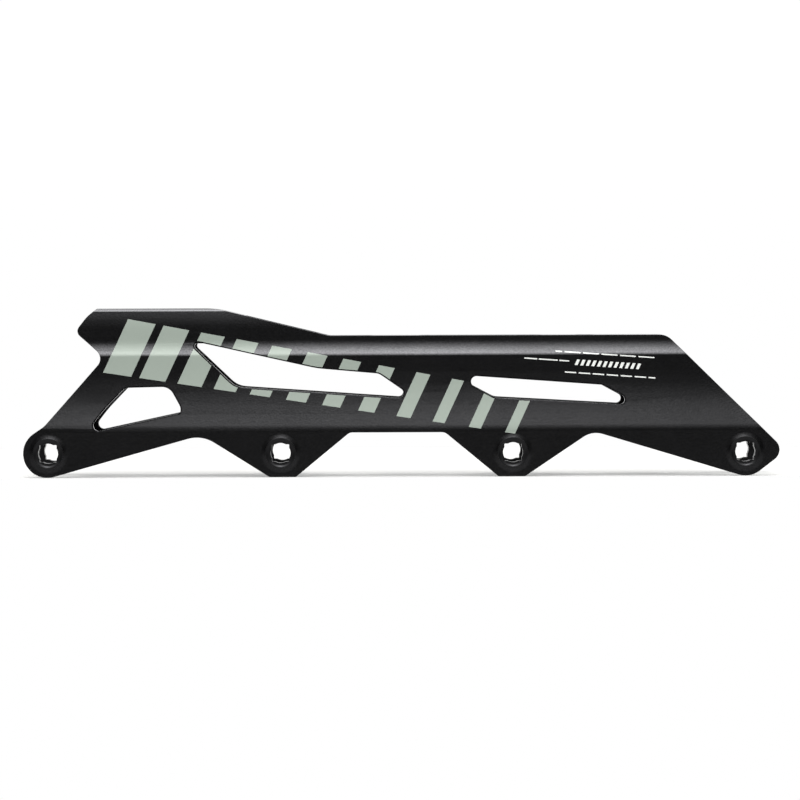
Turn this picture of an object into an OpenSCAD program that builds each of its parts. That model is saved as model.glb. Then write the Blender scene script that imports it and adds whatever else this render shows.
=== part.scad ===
// Four-wheel inline skate frame, an extruded and milled aluminium rail with a bush at each end of every axle.
// X runs from heel to toe, Y across the frame and Z up. The origin is the rear axle's centre, mid-width.

/* [Wheels] */
// Distance from the rear axle to the front axle
wheelbase = 279.4; // [272:0.1:300]
// Largest wheel that the frame takes
wheel_diameter = 90; // [84:1:92]
// Room between a wheel's tread and the web around it
wheel_clearance = 2.5; // [1:0.1:4]
// Radius of the rounded foot around the end axles, also the depth of the feet below the axles
foot_radius = 9.7; // [9:0.1:11]

/* [Decks] */
// Top of the toe deck above the axles
toe_deck_height = 46.9; // [46.4:0.1:49]
// Step from the toe deck up to the heel deck
heel_rise = 11.1; // [9:0.1:14]
// Thickness of the toe deck's web and the heel deck's web
web_thickness = 3; // [2.5:0.1:4]
// Distance between the heel and toe mounting slots
mount_spacing = 165; // [160:0.5:170]
// Toe mounting slot, measured back from the front axle
toe_slot_setback = 63.4; // [60:0.1:66]
// Width of a mounting slot, along the frame
slot_width = 8.2; // [6:0.1:9]
// Length of a mounting slot, across the frame
slot_length = 15; // [11:0.5:16]
// Hole under the heel slot that lets the bolt and the driver in
access_diameter = 15; // [12:0.5:16]

/* [Section] */
// Width over the two lower walls
rail_width = 34.2; // [33.6:0.1:38]
// Width over the walls at the crease
waist_width = 28.4; // [27.6:0.1:30]
// Width over the narrow neck that carries the decks
neck_width = 24.4; // [24:0.1:25.6]
// Thickness of the side walls from the crease up
wall = 3; // [2.5:0.1:3.4]
// Height of the crease above the axles
crease_height = 39.3; // [38:0.1:40]
// Height above the axles where the lower wall starts to lean in
flare_height = 9.9; // [9.7:0.1:12.5]
// Height above the axles where the wall is upright again, under the crease
flare_top = 38; // [34:0.5:38.5]
// Lean of the ledge above the crease, from upright
ledge_angle = 33; // [28:1:40]
// Height of the bevel along the heel deck's edges
heel_bevel = 1; // [0.4:0.1:1.6]

/* [Axle bushes] */
// Axle bore
bore_diameter = 8; // [8:0.05:8.6]
// Side of the square whose corners notch the bore
notch_side = 6.9; // [6.1:0.1:7]
// Radius of the notches' corners
notch_corner = 0.3; // [0.2:0.1:0.6]
// Outside of the bush where it goes through the wall
sleeve_diameter = 12.4; // [11.6:0.1:13]
// Radial room between a bush and its seat
seat_clearance = 0.02; // [0.01:0.01:0.1]
// Flange that bears on the wall's inner face
flange_diameter = 15; // [14:0.1:17]
// Nose that meets the bearing's inner ring
nose_diameter = 11.4; // [10.5:0.1:12]
// Thickness of the flange
flange_thickness = 1.2; // [0.8:0.1:1.6]
// Height of the nose above its flange
nose_height = 0.7; // [0.3:0.1:1]
// Space between the two noses of an axle, for the wheel's bearings
bearing_gap = 24.4; // [24:0.1:24.8]
// Edge of the low swell around each bush, on the wall's outer face
swell_diameter = 16.6; // [15:0.1:16.6]
// Height of the swell where it meets the bush
swell_rise = 0.28; // [0.16:0.02:0.5]
// Edge of the countersink in the bush's outer face
countersink_diameter = 11.6; // [10.8:0.1:11.8]
// Rise of the bush's face from its rim to the countersink
rim_rise = 0.09; // [0.05:0.01:0.2]
// Flat ring around the bore at the bottom of the countersink
ring_diameter = 9.6; // [9:0.1:9.8]
// Depth of the countersink
countersink_depth = 0.55; // [0.3:0.05:0.8]

/* [Hidden] */
// Greatest distance between a round stretch and the straight pieces that draw it
arc_sag = 0.02;
$fn = 96;
// How far a cut runs past the faces that it opens
past = 1;
// Spare length of the bar at each end, before the side outline is cut
bar_spare = 20;
AXLES = [0, 1, 2, 3];
LEFT = 1;
RIGHT = -1;
SIDES = [LEFT, RIGHT];
pitch = wheelbase / 3;
heel_deck_height = toe_deck_height + heel_rise;
toe_slot_station = wheelbase - toe_slot_setback;
heel_slot_station = toe_slot_station - mount_spacing;
rail_half = rail_width / 2;
waist_half = waist_width / 2;
neck_half = neck_width / 2;
neck_inside = neck_half - wall;
nose_face = bearing_gap / 2;
flange_face = nose_face + nose_height;
channel_half = flange_face + flange_thickness;
rim_face = rail_half + swell_rise;
countersink_face = rim_face + rim_rise;
ring_face = countersink_face - countersink_depth;

function axle(i) = i * pitch;

// Corner to corner outline with every corner [x, y, r] rounded to its own radius
function turn_between(a, b) = acos(max(-1, min(1, a * b)));
function unit(v) = v / norm(v);
function flat(p) = [p[0], p[1]];
function arc_steps(turn, r) = max(1, ceil(turn / (2 * acos(1 - min(1, arc_sag / r)))));
function rounded_corner(before, corner, after) =
    let(r = corner[2],
        c = flat(corner),
        inward = unit(flat(before) - c),
        outward = unit(flat(after) - c),
        turn = 180 - turn_between(inward, outward))
    r == 0 || turn < 0.1 ? [c] :
    let(reach = r * tan(turn / 2),
        centre = c + unit(inward + outward) * r / cos(turn / 2),
        first = c + inward * reach - centre,
        side = sign(cross(-inward, outward)),
        steps = arc_steps(turn, r))
    [for (k = [0:steps])
        let(a = side * turn * k / steps)
        centre + [first[0] * cos(a) - first[1] * sin(a), first[0] * sin(a) + first[1] * cos(a)]];
function rounded(corners) =
    let(n = len(corners))
    [for (i = [0:n - 1])
        each rounded_corner(corners[(i + n - 1) % n], corners[i], corners[(i + 1) % n])];

// Heel end of the side outline: distances ahead of the rear axle, drops below the heel deck or the crease
heel_back = 19.4;
heel_back_round = 0.6;
heel_edge = 15.5;
heel_edge_drop = 3.1;
heel_edge_round = 15;
heel_tail = 10.7;
heel_tail_drop = 9.3;
heel_tail_round = 2.6;
heel_notch = 22.5;
heel_notch_drop = 1;
heel_notch_round = 4;
// Rear foot: its circle stands a little behind the axle, and its back rises into the leg
rear_foot_setback = 0.3;
rear_leg_lean = 143.5;
rear_leg_behind = 1.5;
rear_leg_height = 10.9;
rear_leg_round = 8;
// Slope between the decks, which starts ahead of the heel slot
slope_lead = 15.8;
slope_length = 45.8;
slope_top_round = 34;
slope_foot_round = 5;
slope_top = heel_slot_station + slope_lead;
slope_foot = slope_top + slope_length;
// Toe end, behind, ahead of and above the front axle
toe_corner_behind = 31.2;
toe_corner_round = 7;
toe_tip_ahead = 16.2;
toe_tip_height = 0.2;
toe_tip_round = 4.8;
front_foot_lean = 41;
// Arches between the feet: the crown's distance from an axle, its height and its rounding
rear_arch_lean = 16.2;
rear_arch_ahead = 61.6;
rear_arch_height = 7.3;
rear_arch_round = 13;
middle_arch_ahead = 27.7;
middle_arch_ahead_round = 3;
middle_arch_behind = 27.3;
middle_arch_behind_round = 3.5;
middle_arch_height = 8.1;
front_arch_lean = 17.2;
front_arch_ahead = 31.8;
front_arch_height = 8.4;
front_arch_round = 9;
// Flat undersides of the second and third feet, behind and ahead of their axles
second_foot_behind = 4.4;
second_foot_ahead = 6.1;
third_foot_behind = 5.8;
third_foot_ahead = 4.8;
foot_corner_round = 1;

// Side outline of the rail, clockwise from the back of the heel deck, in steps from the axle that each corner
// belongs to. The end feet are round, and a lean is the angle around them from straight down.
rear_foot = axle(0) - rear_foot_setback;
front_foot = axle(3);
function foot_arc(foot, from, to) =
    let(steps = arc_steps(abs(to - from), foot_radius))
    [for (k = [0:steps])
        let(lean = from + (to - from) * k / steps)
        [foot + foot_radius * sin(lean), -foot_radius * cos(lean), 0]];
side_outline = [
    [axle(0) + heel_back, heel_deck_height, heel_back_round],
    [slope_top, heel_deck_height, slope_top_round],
    [slope_foot, toe_deck_height, slope_foot_round],
    [axle(3) - toe_corner_behind, toe_deck_height, toe_corner_round],
    [axle(3) + toe_tip_ahead, toe_tip_height, toe_tip_round],
    each foot_arc(front_foot, front_foot_lean, -front_arch_lean),
    [axle(2) + front_arch_ahead, front_arch_height, front_arch_round],
    [axle(2) + third_foot_ahead, -foot_radius, foot_corner_round],
    [axle(2) - third_foot_behind, -foot_radius, foot_corner_round],
    [axle(2) - middle_arch_behind, middle_arch_height, middle_arch_behind_round],
    [axle(1) + middle_arch_ahead, middle_arch_height, middle_arch_ahead_round],
    [axle(1) + second_foot_ahead, -foot_radius, foot_corner_round],
    [axle(1) - second_foot_behind, -foot_radius, foot_corner_round],
    [axle(0) + rear_arch_ahead, rear_arch_height, rear_arch_round],
    each foot_arc(rear_foot, rear_arch_lean, -rear_leg_lean),
    [axle(0) - rear_leg_behind, rear_leg_height, rear_leg_round],
    [axle(0) + heel_notch, crease_height - heel_notch_drop, heel_notch_round],
    [axle(0) + heel_tail, heel_deck_height - heel_tail_drop, heel_tail_round],
    [axle(0) + heel_edge, heel_deck_height - heel_edge_drop, heel_edge_round]
];

// Rear window, ahead of the rear axle
rear_window_back = 30.8;
rear_window_back_height = 26.2;
rear_window_back_round = 3;
rear_window_nose = 48.5;
rear_window_nose_height = 26.6;
rear_window_nose_round = 5;
rear_window_cheek = 53.1;
rear_window_cheek_height = 18.4;
rear_window_cheek_round = 4;
rear_window_front = 53;
rear_window_front_height = 16;
rear_window_front_round = 1.2;
rear_window_tip = 14.9;
rear_window_tip_height = 7.8;
rear_window_tip_round = 2.2;
rear_window_bow = 22.2;
rear_window_bow_height = 17.3;
rear_window_bow_round = 60;
// Middle window, behind and ahead of the second axle, with its front tip behind the third
middle_window_back = 37.9;
middle_window_back_height = 45.5;
middle_window_back_round = 1.5;
middle_window_bend = 14.6;
middle_window_bend_height = 33.8;
middle_window_bend_round = 40;
middle_window_nose = 39.5;
middle_window_nose_height = 31.6;
middle_window_nose_round = 4;
middle_window_tip = 38.9;
middle_window_tip_height = 21.4;
middle_window_tip_round = 1.9;
middle_window_heel = 18;
middle_window_heel_height = 26.5;
middle_window_heel_round = 9;
// Front window, behind and ahead of the third axle
front_window_back = 24.7;
front_window_back_height = 31.2;
front_window_back_round = 2.2;
front_window_nose = 36.1;
front_window_nose_height = 26.8;
front_window_nose_round = 3;
front_window_tip = 51.4;
front_window_tip_height = 18.5;
front_window_tip_round = 1.9;
front_window_heel = 7;
front_window_heel_height = 21.8;
front_window_heel_round = 5;

// Windows through both walls, each from its upper rear corner
rear_window = [
    [axle(0) + rear_window_back, rear_window_back_height, rear_window_back_round],
    [axle(0) + rear_window_nose, rear_window_nose_height, rear_window_nose_round],
    [axle(0) + rear_window_cheek, rear_window_cheek_height, rear_window_cheek_round],
    [axle(0) + rear_window_front, rear_window_front_height, rear_window_front_round],
    [axle(0) + rear_window_tip, rear_window_tip_height, rear_window_tip_round],
    [axle(0) + rear_window_bow, rear_window_bow_height, rear_window_bow_round]
];
middle_window = [
    [axle(1) - middle_window_back, middle_window_back_height, middle_window_back_round],
    [axle(1) + middle_window_bend, middle_window_bend_height, middle_window_bend_round],
    [axle(1) + middle_window_nose, middle_window_nose_height, middle_window_nose_round],
    [axle(2) - middle_window_tip, middle_window_tip_height, middle_window_tip_round],
    [axle(1) - middle_window_heel, middle_window_heel_height, middle_window_heel_round]
];
front_window = [
    [axle(2) - front_window_back, front_window_back_height, front_window_back_round],
    [axle(2) + front_window_nose, front_window_nose_height, front_window_nose_round],
    [axle(2) + front_window_tip, front_window_tip_height, front_window_tip_round],
    [axle(2) - front_window_heel, front_window_heel_height, front_window_heel_round]
];

// Right half of the section, from the feet up, as corners [half width, height, radius]. Both faces of the wall
// lean in on one arc from flare_height to flare_top. The channel leaves room for the bearings and the bushes'
// flanges. Each fillet is held to the room that its straight neighbours leave.
shoulder_radius = 13;
crease_radius = 1.8;
ledge_radius = 10;
crown_radius = 52;
crown_lean = 0.65;
crown_height = 4.2;
bevel_softening = 0.3;
web_fillet = 1.2;
ledge_inset = waist_half - neck_half;
ledge_bend = crease_height + ledge_inset / tan(ledge_angle);
ledge_run = ledge_inset / sin(ledge_angle) - crease_radius * tan(ledge_angle / 2);
ledge_drop = wall * tan(ledge_angle / 2);
web_underside = toe_deck_height - web_thickness;
web_run = web_underside - web_fillet - (ledge_bend - ledge_drop);
function held(r, run, turn) = max(0, min(r, run / tan(turn / 2)));
function lower_face(foot, waist) =
    let(inset = foot - waist,
        lean = 2 * atan(inset / (flare_top - flare_height)),
        run = inset / sin(lean) - shoulder_radius * tan(lean / 2))
    [
        [foot, -foot_radius - past, 0],
        [foot, flare_height, shoulder_radius],
        [waist, flare_height + inset / tan(lean), run / tan(lean / 2)]
    ];
bevel_foot = heel_deck_height - heel_bevel;
outer_side = concat(lower_face(rail_half, waist_half), [
    [waist_half, crease_height, crease_radius],
    [neck_half, ledge_bend, held(ledge_radius, ledge_run, ledge_angle)],
    [neck_half, bevel_foot - crown_height, crown_radius],
    [neck_half - crown_lean, bevel_foot, bevel_softening],
    [neck_half - crown_lean - heel_bevel, heel_deck_height, bevel_softening]
]);
channel_side = concat(lower_face(channel_half, waist_half - wall), [
    [waist_half - wall, crease_height - ledge_drop, crease_radius],
    [neck_inside, ledge_bend - ledge_drop, held(ledge_radius, min(ledge_run, web_run), ledge_angle)],
    [neck_inside, web_underside, web_fillet]
]);
box_side = [
    [neck_inside, toe_deck_height, web_fillet],
    [neck_inside, heel_deck_height - web_thickness, web_fillet]
];

function mirrored(side) = [for (i = [len(side) - 1:-1:0]) [-side[i][0], side[i][1], side[i][2]]];
function both_sides(side) = rounded(concat(side, mirrored(side)));

// The extruded bar: two walls, the channel for the wheels and the box between the two deck webs
module extruded_bar() {
    bar_end = foot_radius + bar_spare;
    translate([-bar_end, 0, 0])
        rotate([90, 0, 90])
            linear_extrude(wheelbase + 2 * bar_end)
                difference() {
                    polygon(both_sides(outer_side));
                    polygon(both_sides(channel_side));
                    polygon(both_sides(box_side));
                }
}

// A side view shape run across the frame
module across(width) {
    rotate([90, 0, 0])
        linear_extrude(width, center = true)
            children();
}

module side_blank() {
    across(rail_width + 2 * past)
        polygon(rounded(side_outline));
}

// Windows are milled from each side and stop past the fillets under the toe web, so that the web stays whole
module side_windows() {
    window_floor = neck_inside - web_fillet;
    window_depth = rail_half + past - window_floor;
    for (s = SIDES)
        translate([0, s * (window_floor + window_depth / 2), 0])
            across(window_depth) {
                polygon(rounded(rear_window));
                polygon(rounded(middle_window));
                polygon(rounded(front_window));
            }
}

// A rounded box shape seen from above, given by its two ends along the frame
function pocket_shape(rear, front, width, corner) = rounded([
    [rear, -width / 2, corner],
    [front, -width / 2, corner],
    [front, width / 2, corner],
    [rear, width / 2, corner]
]);

// Cuts a shape seen from above through the web whose top is given
module through_web(top) {
    translate([0, 0, top - web_thickness - past])
        linear_extrude(web_thickness + 2 * past)
            children();
}

// The two middle wheels stand up into the toe web, so each has a pocket that reaches on towards the other one
pocket_margin = 0.8;
pocket_corner = 5;
pocket_width = 2 * (neck_inside - pocket_margin);
bridge_width = 18.4;
bridge_middle = (axle(1) + axle(2)) / 2;
wheel_chord = sqrt(max(0, pow(wheel_diameter / 2, 2) - pow(web_underside, 2)));
wheel_reach = wheel_chord + wheel_clearance;
module wheel_pockets() {
    bridge_half = bridge_width / 2;
    through_web(toe_deck_height) {
        polygon(pocket_shape(axle(1) - wheel_reach, bridge_middle - bridge_half, pocket_width, pocket_corner));
        polygon(pocket_shape(bridge_middle + bridge_half, axle(2) + wheel_reach, pocket_width, pocket_corner));
    }
}

module slot_shape() {
    straight = slot_length - slot_width;
    for (s = SIDES)
        translate([0, s * straight / 2])
            circle(d = slot_width);
    square([slot_width, straight], center = true);
}

module mounting_slots() {
    for (slot = [[heel_slot_station, heel_deck_height], [toe_slot_station, toe_deck_height]])
        through_web(slot[1])
            translate([slot[0], 0])
                slot_shape();
    through_web(toe_deck_height)
        translate([heel_slot_station, 0])
            circle(d = access_diameter);
}

// Puts a shape drawn along +Z on an axle, running out through the wall on one side
module on_axle(i, side) {
    translate([axle(i), 0, 0])
        rotate([-90 * side, 0, 0])
            children();
}

// The swell bends from nearly flat at its edge to its steepest at the bush, and is drawn as a few cones. Its first
// cone starts a little under the wall's face, and its base stands inside the wall.
swell_cones = 5;
swell_brim = 0.005;
module bush_swell() {
    swell_run = (swell_diameter - sleeve_diameter) / 2;
    rises = [for (k = [1:swell_cones]) swell_rise * pow(k / swell_cones, 2)];
    radii = [for (k = [1:swell_cones]) swell_diameter / 2 - swell_run * k / swell_cones];
    brim_run = swell_brim * (swell_diameter / 2 - radii[0]) / rises[0];
    brim_radius = swell_diameter / 2 + brim_run;
    rotate_extrude()
        polygon([
            [0, rail_half - past],
            [brim_radius, rail_half - past],
            [brim_radius, rail_half - swell_brim],
            each [for (k = [0:swell_cones - 1]) [radii[k], rail_half + rises[k]]],
            [0, rim_face]
        ]);
}

module bush_seat() {
    seat_bottom = channel_half - past;
    translate([0, 0, seat_bottom])
        cylinder(r = sleeve_diameter / 2 + seat_clearance, h = rim_face - seat_bottom + past);
}

module frame_body() {
    color("#1c1c1d")
        difference() {
            union() {
                intersection() {
                    extruded_bar();
                    side_blank();
                }
                for (i = AXLES, s = SIDES)
                    on_axle(i, s)
                        bush_swell();
            }
            side_windows();
            wheel_pockets();
            mounting_slots();
            for (i = AXLES, s = SIDES)
                on_axle(i, s)
                    bush_seat();
        }
}

// Bush turned with a nose, a flange and a sleeve, then broached with a square that notches its bore
module axle_insert(i, side) {
    color("#161617")
        on_axle(i, side)
            difference() {
                rotate_extrude()
                    polygon([
                        [bore_diameter / 2, nose_face],
                        [nose_diameter / 2, nose_face],
                        [nose_diameter / 2, flange_face],
                        [flange_diameter / 2, flange_face],
                        [flange_diameter / 2, channel_half],
                        [sleeve_diameter / 2, channel_half],
                        [sleeve_diameter / 2, rim_face],
                        [countersink_diameter / 2, countersink_face],
                        [ring_diameter / 2, ring_face],
                        [bore_diameter / 2, ring_face]
                    ]);
                translate([0, 0, nose_face - past])
                    linear_extrude(countersink_face - nose_face + 2 * past)
                        polygon(pocket_shape(-notch_side / 2, notch_side / 2, notch_side, notch_corner));
            }
}

frame_body();
axle_insert(0, LEFT);  // axle_insert_1_left
axle_insert(0, RIGHT);  // axle_insert_1_right
axle_insert(1, LEFT);  // axle_insert_2_left
axle_insert(1, RIGHT);  // axle_insert_2_right
axle_insert(2, LEFT);  // axle_insert_3_left
axle_insert(2, RIGHT);  // axle_insert_3_right
axle_insert(3, LEFT);  // axle_insert_4_left
axle_insert(3, RIGHT);  // axle_insert_4_right
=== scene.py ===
import math

import bmesh
import bpy
from mathutils import Matrix, Vector


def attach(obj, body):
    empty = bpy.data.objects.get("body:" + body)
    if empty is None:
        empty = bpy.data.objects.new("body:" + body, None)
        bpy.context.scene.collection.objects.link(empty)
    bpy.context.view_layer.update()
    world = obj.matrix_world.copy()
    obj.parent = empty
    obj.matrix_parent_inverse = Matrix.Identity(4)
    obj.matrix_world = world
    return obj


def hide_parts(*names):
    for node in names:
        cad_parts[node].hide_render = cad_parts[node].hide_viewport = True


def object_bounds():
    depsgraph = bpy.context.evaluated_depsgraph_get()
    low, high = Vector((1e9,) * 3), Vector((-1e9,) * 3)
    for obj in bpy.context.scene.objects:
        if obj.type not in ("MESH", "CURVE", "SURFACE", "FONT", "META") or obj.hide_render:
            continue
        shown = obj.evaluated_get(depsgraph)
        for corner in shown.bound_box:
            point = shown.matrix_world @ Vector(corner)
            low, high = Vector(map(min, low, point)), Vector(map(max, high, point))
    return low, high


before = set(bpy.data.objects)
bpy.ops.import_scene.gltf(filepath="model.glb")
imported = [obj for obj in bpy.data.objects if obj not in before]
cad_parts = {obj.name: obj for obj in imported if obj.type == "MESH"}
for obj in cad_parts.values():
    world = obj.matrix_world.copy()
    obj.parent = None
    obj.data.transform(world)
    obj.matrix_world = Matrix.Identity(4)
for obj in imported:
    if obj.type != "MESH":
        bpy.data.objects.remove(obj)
cad_low, cad_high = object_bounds()

# Frame rail
# One extruded aluminium bar with two walls, a wheel channel and two deck webs, milled to its side outline and
# windows. The window rims are rounded more than the other edges and painted darker, a painted shade, and the bevel
# along the heel deck is painted lighter, a painted highlight.
# The whole bar is bead blasted, anodised black and screen printed on its outer walls.
MM = 0.001
WELD = 0.002 * MM
FLAT_WITHIN = math.radians(0.3)
SHARP_EDGE = math.radians(38)
SHADE_SHARP = math.radians(50)
AXLE_STEP = 93.133 * MM


def joined_copy(node):
    mesh = bmesh.new()
    mesh.from_mesh(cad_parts[node].data)
    bmesh.ops.remove_doubles(mesh, verts=mesh.verts, dist=WELD)
    bmesh.ops.dissolve_limit(mesh, angle_limit=FLAT_WITHIN, verts=mesh.verts, edges=mesh.edges)
    return mesh


def axle_distance(edge):
    return min(math.hypot(v.co.x - round(v.co.x / AXLE_STEP) * AXLE_STEP, v.co.z) for v in edge.verts)


def broken_edges(mesh, offset, segments, keeps):
    cut = [e for e in mesh.edges if e.calc_face_angle() > SHARP_EDGE and keeps(e)]
    made = bmesh.ops.bevel(mesh, geom=cut, offset=offset, segments=segments, profile=0.5, affect="EDGES",
                           offset_type="OFFSET", clamp_overlap=False, loop_slide=True)
    return made["faces"]


def finished_piece(mesh, name, material, node):
    data = bpy.data.meshes.new(name)
    mesh.to_mesh(data)
    mesh.free()
    piece = bpy.data.objects.new(name, data)
    bpy.context.scene.collection.objects.link(piece)
    data.materials.append(material)
    data.shade_smooth()
    data.set_sharp_from_angle(angle=SHADE_SHARP)
    weighted = piece.modifiers.new("flat faces stay flat", "WEIGHTED_NORMAL")
    weighted.keep_sharp = True
    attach(piece, "root")
    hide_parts(node)


def colour(text):
    channels = [int(text[i:i + 2], 16) / 255 for i in (1, 3, 5)]
    return [c / 12.92 if c <= 0.04045 else ((c + 0.055) / 1.055) ** 2.4 for c in channels] + [1.0]


# Adds a node with its settings and links. A node given as a value stands for its first live output.
def add(tree, kind, sockets=(), **settings):
    made = tree.nodes.new(kind)
    for key, value in settings.items():
        setattr(made, key, value)
    for key, value in dict(sockets).items():
        if isinstance(value, bpy.types.Node):
            value = next(s for s in value.outputs if s.enabled)
        if isinstance(value, bpy.types.NodeSocket):
            tree.links.new(value, made.inputs[key])
        else:
            made.inputs[key].default_value = value
    return made


# Black anodised aluminium, bead blasted: a dense black with a satin sheen, speckled by the blasting, with faint die
# lines along the bar. Broken edges are a little lighter. Window rims are painted darker, a painted shade, and the
# bevel along the heel deck is painted lighter, a painted highlight. The ink on it is matte.
# Blast marks are about 0.15 mm and die lines 0.3 mm, both drawn coarser so that they show.
BLAST_MARK = 0.6 * MM
BLAST_DEPTH = 0.05 * MM
DIE_LINE = 0.9 * MM
DIE_LINE_RUN = 75 * MM
DYE_CLOUD = 18 * MM
SPECKLE_SHARE = 0.75
SATIN = (0.18, 0.24)
INK_ROUGH = 0.5
rail_black = bpy.data.materials.new("black anodised aluminium, printed")
rail_black.use_nodes = True
tree = rail_black.node_tree
shader = tree.nodes["Principled BSDF"]
place = add(tree, "ShaderNodeTexCoord").outputs["Object"]
grit = add(tree, "ShaderNodeTexNoise", {"Vector": place, "Scale": 1 / BLAST_MARK, "Detail": 2.0})
drawn = add(tree, "ShaderNodeMapping", {"Vector": place, "Scale": (DIE_LINE / DIE_LINE_RUN, 1.0, 1.0)})
streaks = add(tree, "ShaderNodeTexNoise", {"Vector": drawn, "Scale": 1 / DIE_LINE, "Detail": 3.0})
cloud = add(tree, "ShaderNodeTexNoise", {"Vector": place, "Scale": 1 / DYE_CLOUD, "Detail": 3.0})
# The window-rim mask paints shade on the rims, and the heel-bevel mask paints a highlight on the bevel.
lighter_edge, outside, rim, milled = (add(tree, "ShaderNodeAttribute", attribute_name=name).outputs["Fac"]
                              for name in ("edge", "outside", "rim", "milled"))

# Sage bars that lean towards the toe and thin out along a band that falls from the heel
BAND_FALL = math.radians(9.6)
BAND_MIDDLE = 47.0 * MM
BAND_HALF = 11.5 * MM
BAND_TAPER = 0.018
BAND_LENGTH = 200.0 * MM
BAR_LEAN = math.radians(25)
BAR_COUNT = 12
BAR_START = 6.0 * MM
BAR_STEP = 14.2 * MM
BAR_WIDTH = 10.6 * MM
BAR_THINNING = 0.62 * MM
BARE = (0, 0, 0, 1)
INKED = (1, 1, 1, 1)
across = add(tree, "ShaderNodeVectorMath", {0: place, 1: (math.sin(BAND_FALL), 0, math.cos(BAND_FALL))},
             operation="DOT_PRODUCT")
along = add(tree, "ShaderNodeVectorMath", {0: place, 1: (math.cos(BAR_LEAN), 0, -math.sin(BAR_LEAN))},
            operation="DOT_PRODUCT")
share = add(tree, "ShaderNodeMath", {0: along, 1: 1 / BAND_LENGTH}, operation="MULTIPLY")
ramp = add(tree, "ShaderNodeValToRGB", {"Fac": share})
ramp.color_ramp.interpolation = "CONSTANT"
stops = ramp.color_ramp.elements
stops.remove(stops[1])
stops[0].position = 0
stops[0].color = BARE
for number in range(BAR_COUNT):
    start = BAR_START + BAR_STEP * number
    end = start + BAR_WIDTH - BAR_THINNING * number
    stops.new(start / BAND_LENGTH).color = INKED
    stops.new(end / BAND_LENGTH).color = BARE
off_middle = add(tree, "ShaderNodeMath", {0: across, 1: BAND_MIDDLE}, operation="SUBTRACT")
off_middle = add(tree, "ShaderNodeMath", {0: off_middle}, operation="ABSOLUTE")
half = add(tree, "ShaderNodeMath", {0: along, 1: -BAND_TAPER, 2: BAND_HALF}, operation="MULTIPLY_ADD")
in_band = add(tree, "ShaderNodeMath", {0: off_middle, 1: half}, operation="LESS_THAN")
bars = add(tree, "ShaderNodeMath", {0: in_band, 1: ramp}, operation="MULTIPLY")
sage = add(tree, "ShaderNodeMath", {0: bars, 1: outside}, operation="MULTIPLY")

# White rules near the toe: three broken lines and a row of leaning ticks. Each row gives the height of its middle,
# half its thickness, where it starts and ends, the step from dash to dash, the inked share and the lean.
RULE_FALL = math.radians(4)
RULES = [
    (54.5, 0.24, 203.5, 243.5, 7.4, 0.86, 0.0),
    (50.9, 0.24, 191.0, 209.0, 8.2, 0.92, 0.0),
    (50.6, 1.15, 195.5, 223.0, 2.3, 0.52, 0.45),
    (46.4, 0.24, 207.0, 243.5, 5.6, 0.82, 0.0),
]
level = add(tree, "ShaderNodeVectorMath", {0: place, 1: (math.sin(RULE_FALL), 0, math.cos(RULE_FALL))},
            operation="DOT_PRODUCT")
white = 0.0
for middle, half_height, start, end, step, filled, lean in RULES:
    run = add(tree, "ShaderNodeVectorMath", {0: place, 1: (1, 0, -lean)}, operation="DOT_PRODUCT")
    near = add(tree, "ShaderNodeMath", {0: level, 1: middle * MM, 2: half_height * MM}, operation="COMPARE")
    reach = add(tree, "ShaderNodeMath", {0: run, 1: (start + end) / 2 * MM, 2: (end - start) / 2 * MM},
                operation="COMPARE")
    dash = add(tree, "ShaderNodeMath", {0: run, 1: 1 / (step * MM)}, operation="MULTIPLY")
    dash = add(tree, "ShaderNodeMath", {0: dash}, operation="FRACT")
    dash = add(tree, "ShaderNodeMath", {0: dash, 1: filled}, operation="LESS_THAN")
    mark = add(tree, "ShaderNodeMath", {0: near, 1: reach}, operation="MULTIPLY")
    mark = add(tree, "ShaderNodeMath", {0: mark, 1: dash}, operation="MULTIPLY")
    white = add(tree, "ShaderNodeMath", {0: white, 1: mark}, operation="MAXIMUM")
white = add(tree, "ShaderNodeMath", {0: white, 1: outside}, operation="MULTIPLY")

# The black, and what lies over it in turn: lighter broken edges, painted shade on the window rims, a painted
# highlight on the heel bevel, the sage ink, the white ink
LAYERS = [(lighter_edge, "#333334"), (rim, "#161617"), (milled, "#424243"), (sage, "#97a197"), (white, "#eceeea")]
speckle = add(tree, "ShaderNodeMix", {"Factor": SPECKLE_SHARE, "A": cloud, "B": grit})
shade = add(tree, "ShaderNodeMix", {"Factor": speckle, "A": colour("#181819"), "B": colour("#414142")},
            data_type="RGBA")
for where, over in LAYERS:
    shade = add(tree, "ShaderNodeMix", {"Factor": where, "A": shade, "B": colour(over)}, data_type="RGBA")
tree.links.new(shade.outputs["Result"], shader.inputs["Base Color"])
ink = add(tree, "ShaderNodeMath", {0: sage, 1: white}, operation="MAXIMUM")
bare = add(tree, "ShaderNodeMath", {0: 1.0, 1: ink}, operation="SUBTRACT")
tree.links.new(bare.outputs["Value"], shader.inputs["Metallic"])
rough = add(tree, "ShaderNodeMapRange", {"Value": streaks, "To Min": SATIN[0], "To Max": SATIN[1]})
rough = add(tree, "ShaderNodeMix", {"Factor": ink, "A": rough, "B": INK_ROUGH})
tree.links.new(rough.outputs["Result"], shader.inputs["Roughness"])
relief = add(tree, "ShaderNodeBump", {"Height": grit, "Strength": 0.5, "Distance": BLAST_DEPTH})
tree.links.new(relief.outputs["Normal"], shader.inputs["Normal"])

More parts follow.
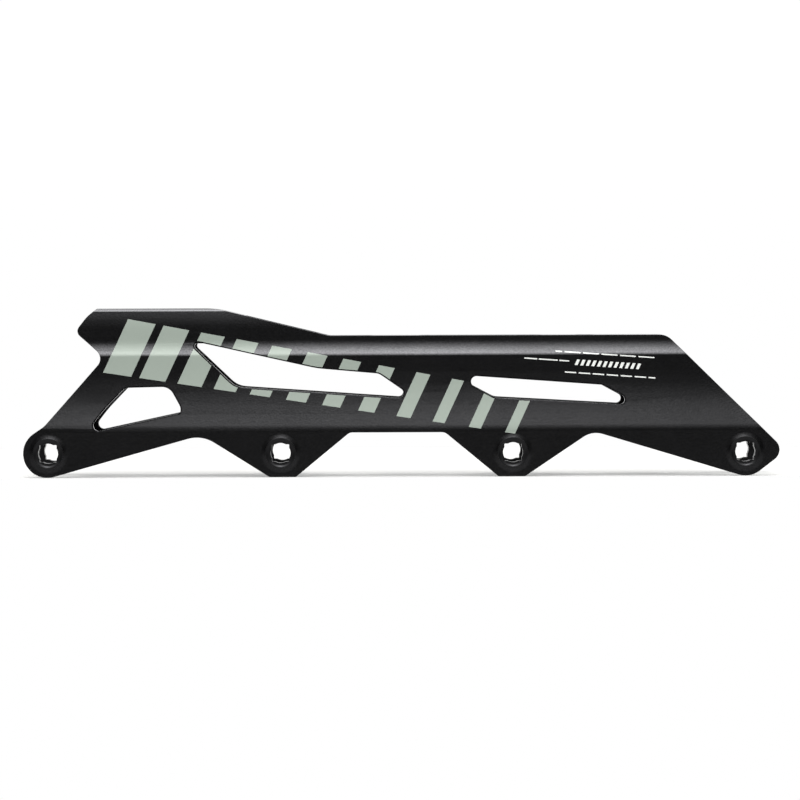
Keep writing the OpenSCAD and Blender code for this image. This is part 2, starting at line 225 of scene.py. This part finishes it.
# The rail's mesh, with its faces marked for that material. Windows are boxes in the side view, in millimetres.
EDGE_BREAK = 0.12 * MM
WINDOW_EDGE_BREAK = 0.55 * MM
WINDOWS = [(13, 55, 6.6, 27.5), (53, 149, 20, 46.3), (160, 240, 17, 32)]
SEAT_RIM = 6.4 * MM
WALL_OUTSIDE = 11.4 * MM
FACING = 0.6
HEEL_BEVEL_FOOT = 56.9 * MM
BEVEL_LEAN = (0.3, 0.97)
rail = joined_copy("frame_body")
edge_mark, outside_mark, rim_mark, milled_mark = (rail.faces.layers.float.new(name)
                                                  for name in ("edge", "outside", "rim", "milled"))


def faces_out(face):
    middle = face.calc_center_median()
    return face.normal.y * math.copysign(1, middle.y) > FACING and abs(middle.y) > WALL_OUTSIDE


def is_window_rim(edge):
    middle = (edge.verts[0].co + edge.verts[1].co) / 2 / MM
    inside = any(x0 < middle.x < x1 and z0 < middle.z < z1 for x0, x1, z0, z1 in WINDOWS)
    return inside and any(faces_out(f) for f in edge.link_faces)


# Window rims are rounded more, and their faces are marked for painted shade.
for face in broken_edges(rail, WINDOW_EDGE_BREAK, 3, is_window_rim):
    face[rim_mark] = 1.0
for face in broken_edges(rail, EDGE_BREAK, 2, lambda edge: axle_distance(edge) > SEAT_RIM):
    face[edge_mark] = 1.0
# Faces leaning upward along the top of the heel are marked for a painted highlight; outer wall faces off the bevels
# take the print.
for face in rail.faces:
    printable = faces_out(face) and face[edge_mark] == 0 and face[rim_mark] == 0
    on_bevel = face.calc_center_median().z > HEEL_BEVEL_FOOT and BEVEL_LEAN[0] < face.normal.z < BEVEL_LEAN[1]
    face[outside_mark] = 1.0 if printable else 0.0
    face[milled_mark] = 1.0 if on_bevel else 0.0
finished_piece(rail, "frame_rail", rail_black, "frame_body")

# Axle bushes
# Eight short aluminium bushes, turned with a nose, a flange and a sleeve and broached for the axle's square
# shoulders, then anodised black. They are pressed into the walls from inside, and each one's countersunk face
# stands in a low swell of the wall.
BUSH_EDGE_BREAK = 0.04 * MM
BORE_EDGES = 6.0 * MM

# Black anodised aluminium, turned: a fine mottle, a dull gloss and rings around the bore, with edges a little
# lighter. Turning marks are about 0.1 mm apart, drawn at 0.4 mm so that they show.
TURNING_MARK = 0.4 * MM
TURNING_DEPTH = 0.01 * MM
MOTTLE = 1.5 * MM
DULL_GLOSS = (0.26, 0.36)
bush_black = bpy.data.materials.new("black anodised aluminium, turned")
bush_black.use_nodes = True
tree = bush_black.node_tree
shader = tree.nodes["Principled BSDF"]
place = add(tree, "ShaderNodeTexCoord").outputs["Object"]
apart = add(tree, "ShaderNodeSeparateXYZ", {"Vector": place})
wrapped = add(tree, "ShaderNodeMath", {0: apart.outputs["X"], 1: AXLE_STEP / 2, 2: -AXLE_STEP / 2}, operation="WRAP")
from_axle = add(tree, "ShaderNodeCombineXYZ", {"X": wrapped, "Z": apart.outputs["Z"]})
radius = add(tree, "ShaderNodeVectorMath", {0: from_axle}, operation="LENGTH")
rings = add(tree, "ShaderNodeMath", {0: radius, 1: 2 * math.pi / TURNING_MARK}, operation="MULTIPLY")
rings = add(tree, "ShaderNodeMath", {0: rings}, operation="SINE")
mottle = add(tree, "ShaderNodeTexNoise", {"Vector": place, "Scale": 1 / MOTTLE, "Detail": 3.0})
lighter_edge = add(tree, "ShaderNodeAttribute", attribute_name="edge").outputs["Fac"]
shade = add(tree, "ShaderNodeMix", {"Factor": mottle, "A": colour("#2b2b2c"), "B": colour("#333334")},
            data_type="RGBA")
shade = add(tree, "ShaderNodeMix", {"Factor": lighter_edge, "A": shade, "B": colour("#373738")}, data_type="RGBA")
tree.links.new(shade.outputs["Result"], shader.inputs["Base Color"])
shader.inputs["Metallic"].default_value = 1.0
rough = add(tree, "ShaderNodeMapRange", {"Value": mottle, "To Min": DULL_GLOSS[0], "To Max": DULL_GLOSS[1]})
tree.links.new(rough.outputs["Result"], shader.inputs["Roughness"])
relief = add(tree, "ShaderNodeBump", {"Height": rings, "Strength": 0.15, "Distance": TURNING_DEPTH})
tree.links.new(relief.outputs["Normal"], shader.inputs["Normal"])

for number in (1, 2, 3, 4):
    for side in ("left", "right"):
        bush = joined_copy(f"axle_insert_{number}_{side}")
        edge_mark = bush.faces.layers.float.new("edge")
        for face in broken_edges(bush, BUSH_EDGE_BREAK, 2, lambda edge: axle_distance(edge) > BORE_EDGES):
            face[edge_mark] = 1.0
        finished_piece(bush, f"axle_bush_{number}_{side}", bush_black, f"axle_insert_{number}_{side}")

# Floor
# A plain pale table top that the feet stand on, ending just in front of them. It shows white to the camera and in
# reflections, and keeps the frame's shadow.
FLOOR_MIDDLE = 140 * MM
FLOOR_LENGTH = 1400 * MM
FLOOR_FRONT = -22 * MM
FLOOR_BACK = 290 * MM
FLOOR_WHITE = 0.3
floor_white = bpy.data.materials.new("white table top")
floor_white.use_nodes = True
tree = floor_white.node_tree
tree.nodes.clear()
seen = add(tree, "ShaderNodeLightPath")
shown = add(tree, "ShaderNodeMath", {0: seen.outputs["Is Camera Ray"], 1: seen.outputs["Is Glossy Ray"]},
            operation="MAXIMUM")
shown = add(tree, "ShaderNodeMath", {0: shown, 1: seen.outputs["Is Transmission Ray"]}, operation="MAXIMUM")
glow = add(tree, "ShaderNodeEmission", {"Color": (1, 1, 1, 1), "Strength": shown})
lit = add(tree, "ShaderNodeBsdfDiffuse", {"Color": colour("#babab8")})
both = add(tree, "ShaderNodeMixShader", {"Fac": FLOOR_WHITE, 1: lit, 2: glow})
add(tree, "ShaderNodeOutputMaterial", {"Surface": both})
plate = bmesh.new()
bmesh.ops.create_grid(plate, x_segments=1, y_segments=1, size=0.5)
data = bpy.data.meshes.new("floor")
plate.to_mesh(data)
plate.free()
data.transform(Matrix.Translation((FLOOR_MIDDLE, (FLOOR_FRONT + FLOOR_BACK) / 2, cad_low[2]))
               @ Matrix.Diagonal((FLOOR_LENGTH, FLOOR_BACK - FLOOR_FRONT, 1, 1)))
data.materials.append(floor_white)
floor = bpy.data.objects.new("floor", data)
bpy.context.scene.collection.objects.link(floor)

# Studio
# A soft box high in front of the frame, narrow from side to side, with a faint share of it all round overhead. The
# room in front is dim at eye level and paler below, where the table would be, and the backdrop is white.
# The camera sees white all round.
SOFT_BOX = 21.5
SOFT_BOX_RISE = 1.85
SOFT_BOX_NARROW = 60
SIDE_SHARE = 0.1
DIM_ROOM = 0.04
TABLE_GLOW = 0.6
TABLE_EDGE = (0.02, -0.14)
BACKDROP = 1.0
BACKDROP_TOP = 2.0
BACKDROP_EDGE = (-0.3, 0.1)
world = bpy.data.worlds.new("studio dome")
bpy.context.scene.world = world
world.use_nodes = True
tree = world.node_tree
tree.nodes.clear()
heading = add(tree, "ShaderNodeSeparateXYZ", {"Vector": add(tree, "ShaderNodeTexCoord").outputs["Generated"]})
sideways, forward, upward = (heading.outputs[axis] for axis in "XYZ")
height = add(tree, "ShaderNodeMath", {0: upward, 1: 0.0}, operation="MAXIMUM")
height = add(tree, "ShaderNodeMath", {0: height, 1: SOFT_BOX_RISE}, operation="POWER")
ahead = add(tree, "ShaderNodeMath", {0: sideways, 1: sideways}, operation="MULTIPLY")
ahead = add(tree, "ShaderNodeMath", {0: 1.0, 1: ahead}, operation="SUBTRACT")
ahead = add(tree, "ShaderNodeMath", {0: ahead, 1: SOFT_BOX_NARROW}, operation="POWER")
ahead = add(tree, "ShaderNodeMath", {0: ahead, 1: 1 - SIDE_SHARE, 2: SIDE_SHARE}, operation="MULTIPLY_ADD")
box = add(tree, "ShaderNodeMath", {0: height, 1: ahead}, operation="MULTIPLY")
front = add(tree, "ShaderNodeMath", {0: box, 1: SOFT_BOX, 2: DIM_ROOM}, operation="MULTIPLY_ADD")
table = add(tree, "ShaderNodeMapRange", {"Value": upward, "From Min": TABLE_EDGE[0], "From Max": TABLE_EDGE[1],
                                         "To Max": TABLE_GLOW}, interpolation_type="SMOOTHSTEP")
front = add(tree, "ShaderNodeMath", {0: front, 1: table}, operation="ADD")
back = add(tree, "ShaderNodeMath", {0: height, 1: BACKDROP_TOP, 2: BACKDROP}, operation="MULTIPLY_ADD")
behind = add(tree, "ShaderNodeMapRange", {"Value": forward, "From Min": BACKDROP_EDGE[0],
                                          "From Max": BACKDROP_EDGE[1]}, interpolation_type="SMOOTHSTEP")
glow = add(tree, "ShaderNodeMix", {"Factor": behind, "A": front, "B": back})
seen = add(tree, "ShaderNodeLightPath")
strength = add(tree, "ShaderNodeMath", {0: glow, 1: seen.outputs["Is Camera Ray"]}, operation="MAXIMUM")
room = add(tree, "ShaderNodeBackground", {"Color": (1, 1, 1, 1), "Strength": strength})
add(tree, "ShaderNodeOutputWorld", {"Surface": room})

# Camera
# A long lens 1.6 m in front of the right wall, near the middle of the rail's length and just above the heel deck.
# It looks a little down, and pans and rolls by a fraction of a degree. Its angles are in radians.
LENS_PIXELS = 3954
PICTURE = 800
EYE = Vector((135.0, -1600.0, 60.0)) * MM
PAN = 0.00382
TILT = 0.0246
ROLL = 0.0034
lens = bpy.data.cameras.new("camera")
lens.sensor_width = 36
lens.lens = LENS_PIXELS / PICTURE * lens.sensor_width
camera = bpy.data.objects.new("camera", lens)
upright = Matrix.Rotation(math.pi / 2 - TILT, 4, "X")
camera.matrix_world = (Matrix.Translation(EYE) @ Matrix.Rotation(-PAN, 4, "Z") @ upright
                       @ Matrix.Rotation(-ROLL, 4, "Z"))
bpy.context.scene.collection.objects.link(camera)
bpy.context.scene.camera = camera

bpy.context.scene.view_settings.view_transform = "Standard"
